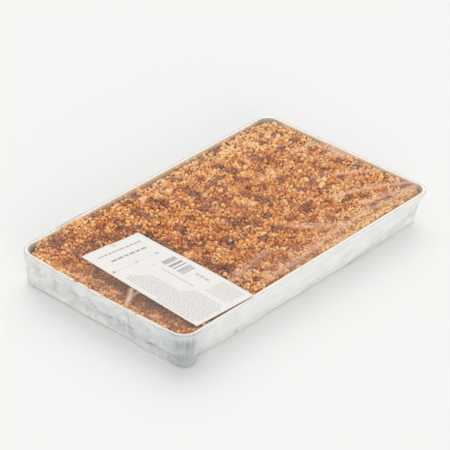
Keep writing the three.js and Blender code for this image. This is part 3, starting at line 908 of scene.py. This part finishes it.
def nut_layers(dice):
    """Two layers of chopped nuts: darker ones sunk in the caramel, and golden ones on top.

    Fewer lie on top where the bake is browner and along the painted label shadow.
    """
    golden = chopped_nut("golden_chopped_nut", GOLDEN_BAKE, BROWN_BAKE)
    x, y = scatter(dice, SUNK_SPACING)
    tone = bake_tone(x, y) - 0.16 + 0.1 * dice.normal(size=len(x))
    halves = chopped_sizes(dice, len(x), 1.35, 0.25, (0.7, 2.2))
    made = [lumps("nuts_sunk", dice, x, y, halves, -0.35, tone, golden, 0.5, 2, 5)]
    x, y = scatter(dice, TOP_SPACING)
    off_dark = distance_to(np.array(DARK_PLACES, float), x, y) > 2.4
    clear = off_dark & (dice.uniform(size=len(x)) > 0.8 * browned_and_shaded(x, y))
    x, y = x[clear], y[clear]
    tone = bake_tone(x, y) + 0.05 + 0.14 * dice.normal(size=len(x))
    lighter = tone > np.median(tone)
    for name, keep in [("nuts_golden", lighter), ("nuts_caramel", ~lighter)]:
        halves = chopped_sizes(dice, keep.sum(), 1.28, 0.3, (0.8, 2.8))
        made.append(lumps(name, dice, x[keep], y[keep], halves, 0.6, tone[keep], golden))
    return made


def lone_pieces(dice):
    """The few pale nuts and dark fruits that stand out, most of them where the photo shows them."""
    pale_x, pale_y = np.array(PALE_PLACES, float).T
    few_x, few_y = dice.uniform(-50, 150, 26), dice.uniform(-85, 85, 26)
    first, last, row_y, row_count = PALE_ROW
    row_x = np.linspace(first, last, row_count)
    pale_x = np.concatenate([pale_x, few_x, row_x])
    pale_y = np.concatenate([pale_y, few_y, row_y + 0.5 * np.sin(row_x)])
    halves = chopped_sizes(dice, len(pale_x), 1.6, 0.2, (1.1, 2.3))
    tone = dice.uniform(0.1, 0.8, len(pale_x))
    pale = chopped_nut("pale_chopped_nut", PALE_NUT)
    nuts = lumps("nuts_pale", dice, pale_x, pale_y, halves, 0.7, tone, pale, 0.8, 4, 7)
    dark_x, dark_y = np.array(DARK_PLACES, float).T
    halves = chopped_sizes(dice, len(dark_x), 3.1, 0.3, (1.8, 4.6)) * [1, 0.8, 0.6]
    tone = dice.uniform(0, 0.9, len(dark_x))
    fruit = chopped_nut("dark_dried_fruit", DRIED_FRUIT)
    fruits = lumps("fruit_dark", dice, dark_x, dark_y, halves, 0.4, tone, fruit, 0.4, 4, 9)
    return [nuts, fruits]


# Film

# Folds of the taut film: points along each, half width in millimetres and how milky it is
FOLDS = [
    ([(156, -80), (135, -66), (113, -54.5), (88, -44.6)], 1.9, 0.38),
    ([(154, -47), (140, -35), (122, -23)], 2.2, 0.26),
    ([(150, -90), (105, -84), (79, -82.6), (33, -85.4), (10, -89), (-50, -91)], 2.6, 0.22),
    ([(158, -88), (140, -84), (118, -76), (100, -73)], 1.9, 0.32),
    ([(-72, -70), (-45, -65), (-19, -62)], 3.5, 0.18),
    ([(28, -50), (40, -62), (50, -72)], 3.0, 0.2),
    ([(-161, -34), (-150, -26), (-137, -17)], 1.6, 0.55),
    ([(-151, -27), (-142, -24), (-134, -25)], 1.5, 0.3),
    ([(60, -79), (42, -70), (33, -58)], 2.4, 0.18),
    ([(157, 20), (140, 30), (118, 34)], 2.4, 0.16),
]

# Creases of the loose film down the label's end: points (across, up), half width, how milky
END_CREASES = [
    ([(12, 24), (5, 17), (-1, 13.6), (-14, 14.7)], 1.4, 0.42),
    ([(-21, 21), (-24, 17), (-29, 14.8), (-34, 14), (-44, 16.5)], 1.4, 0.4),
    ([(-36.6, 31), (-36.3, 24), (-36, 16)], 1.3, 0.4),
    ([(60, 14.2), (30, 12.8), (-2, 11), (-12, 10.4)], 1.6, 0.22),
    ([(-55, 8.5), (-60, 9.8), (-67, 11.2)], 1.8, 0.42),
    ([(70, 24), (52, 18), (40, 17)], 1.5, 0.2),
    ([(-60, 27), (-66, 20), (-78, 16)], 1.5, 0.24),
]

# Creases of the film down the near side: points (along, up), half width, how milky
SIDE_CREASES = [
    ([(50, 0.5), (80, 5), (104, 9), (128, 12.5), (158, 20)], 1.5, 0.3),
    ([(96, 1), (120, 6), (142, 11), (158, 17)], 1.4, 0.26),
    ([(-20, 2), (20, 8), (60, 17), (96, 27)], 2.0, 0.16),
    ([(-96, 31), (-97, 22), (-95, 12), (-92, 3)], 1.4, 0.24),
    ([(-120, 30), (-119, 20), (-112, 8)], 1.5, 0.16),
    ([(-128, 6), (-108, 3.2), (-92, 4)], 1.6, 0.24),
    ([(-20, 26), (4, 14), (16, 4)], 1.6, 0.12),
]


def film_level(x, y):
    """The film between the rims: taut, but sunk onto the crust by the label's far corner, and
    lifted where nuts lie on the rim."""
    taut = FILM_ON_RIM + (FILM_TAUT - FILM_ON_RIM) * smooth(inset_at(x, y), 1, 9)
    towards_corner = smooth(x, -132, -66) * smooth(y, -75, 45)
    back_up = (1 - smooth(x, -60, -15)) * (1 - smooth(y, 50, 84))
    return taut - FILM_SAG * towards_corner * back_up + SPILL_LIFT * spill_at(x, y)


def film_height(x, y):
    """The film's top: its level, with faint waves and a low ridge along each fold."""
    inset = inset_at(x, y)
    faint = 0.16 * waves(x, y, 38, 51) * smooth(inset, 3, 14) * smooth(x, -66, -50)
    folds = ridges_along([(*fold[:2], FOLD_HEIGHT) for fold in FOLDS], x, y)
    return film_level(x, y) + faint + folds * smooth(inset, 1, 5)


def creases(x, y, z):
    """How deep in a crease of the loose film: down the label's end, and down the near side."""
    at_end = smooth(-x, HALF_LENGTH - 16, HALF_LENGTH - 10)
    at_side = smooth(-y, HALF_WIDTH - 16, HALF_WIDTH - 10)
    return ridges_along(END_CREASES, y, z) * at_end, ridges_along(SIDE_CREASES, x, z) * at_side


def crumples(x, y, z, seed):
    """Broken lines of crumpled film: where one field of waves is near 0 and another is above it."""
    along, up = x - y, 1.5 * z
    broken = np.clip(0.4 + 0.7 * waves(along, up, 40, seed + 10), 0, 1)
    at_end = smooth(-x, HALF_LENGTH - 16, HALF_LENGTH - 8) * smooth(y, 4 - HALF_WIDTH, 26 - HALF_WIDTH)
    between = (1 - smooth(z, 24, 31)) * smooth(z, 1, 4)
    return (0.12 + 0.88 * at_end) * broken * bell(waves(along, up, 26, seed), 0.36) * between


# The film's way down from the taut top: inset, height, slack and share of the hem's spread
FILM_STEPS = [
    (1.2, FILM_ON_RIM, 0, 0),
    (0.1, RIM_TOP + 0.1, 0, 0),
    (-0.45, RIM_TOP - 1.2, 0, 0),
    (-0.4, RIM_TOP - 3.2, 0.2, 0.05),
    (1.0, 25.0, 0.6, 0.15),
    (2.9, 17.0, 1.0, 0.3),
    (4.6, 10.5, 1.1, 0.55),
    (5.8, 6.0, 1.1, 0.75),
    (6.6, 2.6, 0.9, 1.0),
    (7.4, 0.9, 0.6, 1.0),
    (9.2, 0.3, 0.0, 0.9),
]


def film_wrap(material):
    """Rings from the seam underneath out to the hem, up the sides and over the rim, then the top."""
    outline = Outline(1.6, 16)
    steps = through(FILM_STEPS, 3)[::-1, :, None]
    inset, height, slack, spread = (steps[:, k] for k in range(4))
    x, y, _ = outline.ring(BASE_INSET, 0.0).T
    at_end = 1 - smooth(x + HALF_LENGTH, 12, 26)
    at_ear = at_end * (1 - smooth(y + HALF_WIDTH, 12, 26))
    wander = 0.4 * waves(1.3 * x - y, 1.3 * y + x + 0.8 * height, 52, 61)
    ripple = 0.2 * waves(0.25 * x, 0.25 * y + 1.2 * height, 12, 62)
    end_ridges, side_ridges = creases(x, y, height)
    ridges = 0.35 * end_ridges + 0.7 * side_ridges
    ridges = ridges + 0.4 * sum(crumples(x, y, height, seed) for seed in (WHITE_LINES, GREY_SHADE_LINES))
    inset = inset - slack * (0.4 + wander + ripple) - spread * (5.2 * at_end + 1.4 * at_ear) - ridges
    tight = wall_inset(np.clip(height, UNDERSIDE + FOOT, WALL_TOP)) - 0.9
    hug = 0.8 * smooth(x, 60, 150) * smooth(-height, -31, -24)
    rings = outline.ring(inset + hug * np.maximum(tight - inset, 0), height)
    over_rim = smooth(rings[..., 2], RIM_TOP - 2, RIM_TOP)
    rings[..., 2] += SPILL_LIFT * spill_at(rings[..., 0], rings[..., 1]) * over_rim
    slot = beside(*(SEAM_BOX * outline.box + SEAM_ROUNDING * outline.out).T, SEAM_HEIGHT)
    share = np.array([0, 0.25, 0.5, 0.75, 0.95])[:, None, None]
    rings = np.concatenate([slot + (rings[0] - slot) * share, rings])
    grid = outline.patch(rings[-1])[1:-1, 1:-1]
    grid[..., 2] = film_height(grid[..., 0], grid[..., 1])
    count, columns = rings.shape[:2]
    points = np.concatenate([rings.reshape(-1, 3), grid.reshape(-1, 3)])
    faces = [bands(count, columns), quads(outline.patch_ids((count - 1) * columns, count * columns))]
    piece = add_piece("film_wrapping", placed(points), faces, material, film_clouding(points))
    return thickened(piece, FILM_THICK)


def taut_haze(x, y):
    """How milky the taut top is: faintly everywhere, along its folds, in a patch of fog at the far
    end and a fainter one at the label's end, along the far rims, and over the near side."""
    faint = 0.002 + 0.005 * np.clip(waves(x, y, 30, 71), 0, 1)
    far_fog = 0.4 * bell(x - 151, 7) * bell(y - 3, 9)
    end_fog = 0.02 * smooth(-x, 105, 140) + 0.05 * smooth(-x, 118, 142) * (1 - smooth(y, 10, 60))
    by_end, by_side = smooth(x, HALF_LENGTH - 15, HALF_LENGTH - 7), smooth(y, HALF_WIDTH - 12, HALF_WIDTH - 6)
    by_rims = 0.07 * np.maximum(by_end, by_side) * (0.4 + 0.6 * smooth(inset_at(x, y), 2.5, 5.0))
    near_glow = 0.04 * smooth(-y, 60, 84) * smooth(x, -60, -20)
    return faint + ridges_along(FOLDS, x, y) + far_fog + end_fog + by_rims + near_glow


def loose_haze(x, y, z):
    """How milky the loose sides are: more away from the near corner, with level streaks, and with
    patches and white lines where the label's end is crumpled."""
    from_near = np.hypot(x + HALF_LENGTH, y + HALF_WIDTH)
    slow = 0.36 + 0.22 * smooth(from_near, 25, 150) - 0.16 * bell(from_near, 28)
    streaks = 0.03 * np.clip(waves(0.3 * x, 0.3 * y + 1.5 * z, 12, 72), -1, 2)
    at_end = smooth(-x, HALF_LENGTH - 12, HALF_LENGTH - 4)
    patches = 0.05 * waves(x - y, 1.4 * z, 30, 73) * (0.2 + 0.8 * at_end)
    return slow + streaks + patches + 0.14 * crumples(x, y, z, WHITE_LINES)


def film_clouding(points):
    """How milky the film is, and its colour: the taut top's haze and the loose sides', the creases,
    a line along the far rims and round the near corner, and painted grey shade in that line, in
    creases and crumples, and round the near corner, most at its hem."""
    x, y, z = points.T
    inset = inset_at(x, y)
    on_top = smooth(inset, 1.0, 3.0) * smooth(z, 27.0, 29.5)
    # Painted shade round the near corner, most at the hem
    corner = bell(np.hypot(x + HALF_LENGTH, y + HALF_WIDTH), 28)
    hem_shade = corner * (1 - smooth(z, 2, 10))
    sides = (1 - on_top) * (loose_haze(x, y, z) + 0.05 * hem_shade) * smooth(-z, -34, -31.5)
    creased = sum(creases(x, y, z))
    # A painted shadow line under the bead, along the far rims and round the near corner
    lined = smooth(x, HALF_LENGTH - 3, HALF_LENGTH) + smooth(y, HALF_WIDTH - 3, HALF_WIDTH) + corner
    rim_shade_line = 0.2 * lined * bell(inset + 0.2, 0.9) * smooth(z, 30.5, 32.0)
    haze = on_top * taut_haze(x, y) + sides + 0.3 * creased + rim_shade_line
    # Painted grey shade in the rim line, creases and crumples, and round the near corner
    painted_greys = [
        smooth(np.maximum(0.4 * creased, rim_shade_line), 0.02, 0.25),
        0.5 * hem_shade,
        0.25 * corner,
        0.3 * crumples(x, y, z, GREY_SHADE_LINES),
    ]
    tint_and_shade = np.where(on_top > 0.5, 1.0, 0.5 * np.clip(np.max(painted_greys, axis=0), 0, 1))
    return {"haze": np.clip(haze, 0, 0.9), "tint_and_shade": tint_and_shade}


# Label

def on_label(points):
    """Turns and moves points from the label's own frame to where it lies, bent with the film and
    curled up a little at its -Y end."""
    across, along, height = np.moveaxis(points, -1, 0)
    cos, sin = math.cos(math.radians(LABEL_TURN)), math.sin(math.radians(LABEL_TURN))
    x = across * cos - along * sin + LABEL_MIDDLE[0]
    y = across * sin + along * cos + LABEL_MIDDLE[1]
    curl = 0.4 * smooth(-along, 0.5 * LABEL_LENGTH - 16, 0.5 * LABEL_LENGTH) ** 2
    return beside(x, y, height + film_level(x, y) + LABEL_CLEAR + curl)


def paper_sheet(material):
    """The label: a grid of points, bent with the film, thickened into paper."""
    u, v = (np.linspace(-0.5, 0.5, count) for count in LABEL_GRID)
    x, y = np.meshgrid(u * LABEL_WIDTH, v * LABEL_LENGTH)
    points = on_label(beside(x, y, LABEL_THICK).reshape(-1, 3))
    ids = np.arange(len(points)).reshape(x.shape)
    return thickened(add_piece("label_sheet", points, [quads(ids)], material), LABEL_THICK * 0.8)


def plates(low_x, low_y, high_x, high_y, bottom, top):
    """Flat closed plates, one for each row of corners, as points and faces."""
    corner_x = beside(*[low_x, high_x, high_x, low_x] * 2)
    corner_y = beside(*[low_y, low_y, high_y, high_y] * 2)
    points = beside(corner_x, corner_y, np.repeat([bottom, top], 4))
    one = np.array([[3, 2, 1, 0], [4, 5, 6, 7], [0, 1, 5, 4], [1, 2, 6, 5], [2, 3, 7, 6], [3, 0, 4, 7]])
    faces = one[None] + 8 * np.arange(len(points))[:, None, None]
    return points.reshape(-1, 3), faces.reshape(-1, 4)


def line_along(dice, across, start, end, height, marks, gaps):
    """Dashes in a line along the label, at `across` from its -X edge, between two distances from
    its +Y end: uneven lengths, with gaps between."""
    lengths = dice.uniform(*marks, 200)
    spaces = dice.uniform(*gaps, 200)
    starts = start + np.cumsum(lengths + spaces) - lengths - spaces[0]
    keep = starts + lengths < end
    low = np.full(keep.sum(), across - height / 2)
    return low, starts[keep], low + height, (starts + lengths)[keep]


def line_across(dice, along, start, end, height, marks, gaps):
    """Dashes in a line across the label, at `along` from its +Y end."""
    low_y, low_x, high_y, high_x = line_along(dice, along, start, end, height, marks, gaps)
    return low_x, low_y, high_x, high_y


def cut_short(low, high, longest):
    """Cuts rectangles along one direction into pieces no longer than a length: which rectangle
    each piece comes from, and its two ends, with a hair's gap so that each stays a solid of its own."""
    pieces = np.ceil((high - low) / longest).astype(int)
    source = np.repeat(np.arange(len(low)), pieces)
    step = np.arange(len(source)) - np.repeat(np.cumsum(pieces) - pieces, pieces)
    share = (high - low)[source] / pieces[source]
    return source, low[source] + step * share + HAIR, low[source] + (step + 1) * share - HAIR


def ink_piece(name, rows, material):
    """Joins rows of rectangles, measured from the label's -X and +Y edges, into one printed piece,
    cut into short lengths so that they bend with the paper."""
    near_x, near_y, far_x, far_y = (np.concatenate(part) for part in zip(*rows))
    source, near_x, far_x = cut_short(near_x, far_x, INK_STRETCH)
    near_y, far_y = near_y[source], far_y[source]
    source, near_y, far_y = cut_short(near_y, far_y, INK_STRETCH)
    near_x, far_x = near_x[source], far_x[source]
    half_x, half_y = LABEL_WIDTH / 2, LABEL_LENGTH / 2
    corners = (near_x - half_x, half_y - far_y, far_x - half_x, half_y - near_y)
    points, faces = plates(*corners, LABEL_THICK, LABEL_THICK + INK_THICK)
    return add_piece(name, on_label(points), [faces], material, flat=True)


def one_mark(*edges):
    """A single rectangle, as the rows that a printed piece is made of."""
    return [tuple(np.array([edge]) for edge in edges)]


# The shortest and longest dash of a line of words, and the same of the gaps between
WORDS = ((1.5, 6), (0.5, 1.1))

# Lines of dashes along the label: how far from its -X edge, from where to where along it from its
# +Y end, their height, and the shortest and longest dash and gap
TEXT_STARTS = [51, 51, 50, 52, 55, 58, 60, 62, 99, 101, 104, 106]
TEXT_LINES = [
    (3.4, 92, 141, 1.1, *WORDS),
    *[(6.2 + 2.6 * k, start, 143, 1.1, *WORDS) for k, start in enumerate(TEXT_STARTS)],
    (38.9, 61, 102, 1.2, *WORDS),
    (42.6, 111, 136, 1.2, (1.0, 3), (0.4, 1.0)),
    (38.6, 49.5, 53, 1.4, (1.4, 1.8), (0.4, 0.6)),
]
FAINT_LINES = [(45.5 + 2.2 * k, 112, 141, 1.2, (1.0, 4.0), (0.5, 1.2)) for k in range(8)]
BAR_BLOCKS = [
    (53.0, 52, 58.5, 15.0, (0.7, 1.4), (0.5, 0.8)),
    (53.0, 61, 64.5, 15.0, (0.9, 1.6), (0.4, 0.6)),
    (53.0, 67, 70, 15.0, (1.2, 1.8), (0.3, 0.5)),
    (53.0, 72, 80.5, 15.0, (0.5, 1.1), (0.7, 1.4)),
]
FIGURES = (54.2, 87, 109, 3.0, (3.0, 5.0), (1.2, 2.0))

# Lines of dashes across the label: how far from its +Y end, from where to where across it, and so on
TITLE = (12.2, 9, 60, 1.7, (1.5, 4.0), (0.9, 1.5))
OVER_TITLE = [(2.2 + 1.0 * k, 31.5 + 0.4 * k, 36.5, 0.7, (1.0, 1.8), (0.3, 0.5)) for k in range(4)]
HEADING = (23.6, 14, 56, 2.4, (3.0, 7.0), (1.2, 1.8))


def label_print():
    """Plain bars and dashes that stand in for print: heading, rule, bar block, lines of dashes."""
    dice = np.random.default_rng(17)
    text = [line_along(dice, *line) for line in TEXT_LINES]
    title = [line_across(dice, *TITLE)]
    over_title = [line_across(dice, *line) for line in OVER_TITLE]
    faint = [line_along(dice, *line) for line in FAINT_LINES]
    heading = [line_across(dice, *HEADING)]
    bars = [line_along(dice, *block) for block in BAR_BLOCKS]
    figures = [line_along(dice, *FIGURES)]
    rule = one_mark(4.3, 37.6, 57.0, 37.9)
    prints = [
        ("print_lines", "grey_offset_ink", "#c8c4bf", text + over_title + rule + figures),
        ("print_faint", "pale_grey_offset_ink", "#d0ccc7", faint),
        ("print_bars", "black_offset_ink", "#979491", bars + one_mark(3.2, 36.4, 5.6, 39.0)),
        ("print_heading", "charcoal_offset_ink", "#a3a09c", heading + title),
        ("print_pink", "pink_offset_ink", "#d8aeb0", one_mark(29.0, 36.5, 31.2, 39.0)),
        ("print_blue", "blue_offset_ink", "#a5c6d4", one_mark(52.6, 36.2, 55.6, 39.2)),
    ]
    return [ink_piece(name, rows, printing_ink(ink, tone)) for name, ink, tone, rows in prints]


# Stage

def pale_floor():
    """A plain pale floor, large enough to fill the view."""
    material, tree, surface = new_material("matt_white_backdrop")
    matt = {"Base Color": linear("#f3f1ee"), "Roughness": 0.8, "Specular IOR Level": 0.2}
    tree.links.new(add_node(tree, "ShaderNodeBsdfPrincipled", matt), surface)
    half = 6000.0
    points = np.array([[-half, -half, 0], [half, -half, 0], [half, half, 0], [-half, half, 0]])
    floor = add_piece("floor", points, [np.array([[0, 1, 2, 3]])], material, flat=True)


def direction(bearing, height):
    """A unit direction: anticlockwise from +X, and up from the horizon, both in degrees."""
    turn, rise = math.radians(bearing), math.radians(height)
    return Vector((math.cos(rise) * math.cos(turn), math.cos(rise) * math.sin(turn), math.sin(rise)))


def aimed(name, data, place, towards, axis):
    """Adds a lamp or a camera to the scene, with one of its axes turned to a direction."""
    holder = bpy.data.objects.new(name, data)
    holder.location = place
    holder.rotation_mode = "QUATERNION"
    holder.rotation_quaternion = towards.to_track_quat(axis, "Y")
    bpy.context.scene.collection.objects.link(holder)
    return holder


def soft_lamp(name, bearing, height, spread, strength, colour):
    """A distant soft light: where it stands round the pack and how high, and how wide it looks."""
    lamp = bpy.data.lights.new(name, "SUN")
    lamp.angle = math.radians(spread)
    lamp.energy = strength
    lamp.color = colour
    place = direction(bearing, height)
    aimed(name, lamp, place, place, "Z")


def studio_light():
    """A pale surround, a soft key light from behind and above, and a low fill from the front."""
    world = bpy.data.worlds.new("studio")
    world.use_nodes = True
    background = world.node_tree.nodes["Background"]
    background.inputs["Color"].default_value = linear("#eef3f8")
    background.inputs["Strength"].default_value = 0.79
    bpy.context.scene.world = world
    soft_lamp("key_from_behind", 43, 45, spread=58, strength=1.2, colour=(1.0, 0.94, 0.87))
    soft_lamp("fill_from_front", 237, 8, spread=40, strength=1.6, colour=(1.0, 0.97, 0.94))


def photo_camera():
    """The photograph's view: a long lens from the label's end and the near side, looking down."""
    lens = bpy.data.cameras.new("photo_camera")
    lens.lens = CAMERA_LENS
    lens.sensor_width = 36.0
    back = direction(CAMERA_AZIMUTH - 90, CAMERA_ELEVATION)
    place = Vector(CAMERA_TARGET) * MM + back * (CAMERA_DISTANCE * MM)
    bpy.context.scene.camera = aimed("photo_camera", lens, place, -back, "-Z")


photo_camera()
studio_light()
pale_floor()
bpy.context.scene.view_settings.view_transform = "Standard"

stand_for(foil_tray(pressed_foil()), "foil_tray")
stand_for(cake(baked_caramel()), "traybake")
nut_dice = np.random.default_rng(7)
for kind in nut_layers(nut_dice) + lone_pieces(nut_dice):
    stand_for(kind, "traybake")
stand_for(film_wrap(wrapping_film()), "film_wrap")
stand_for(paper_sheet(label_paper()), "label")
for printed in label_print():
    stand_for(printed, "label")
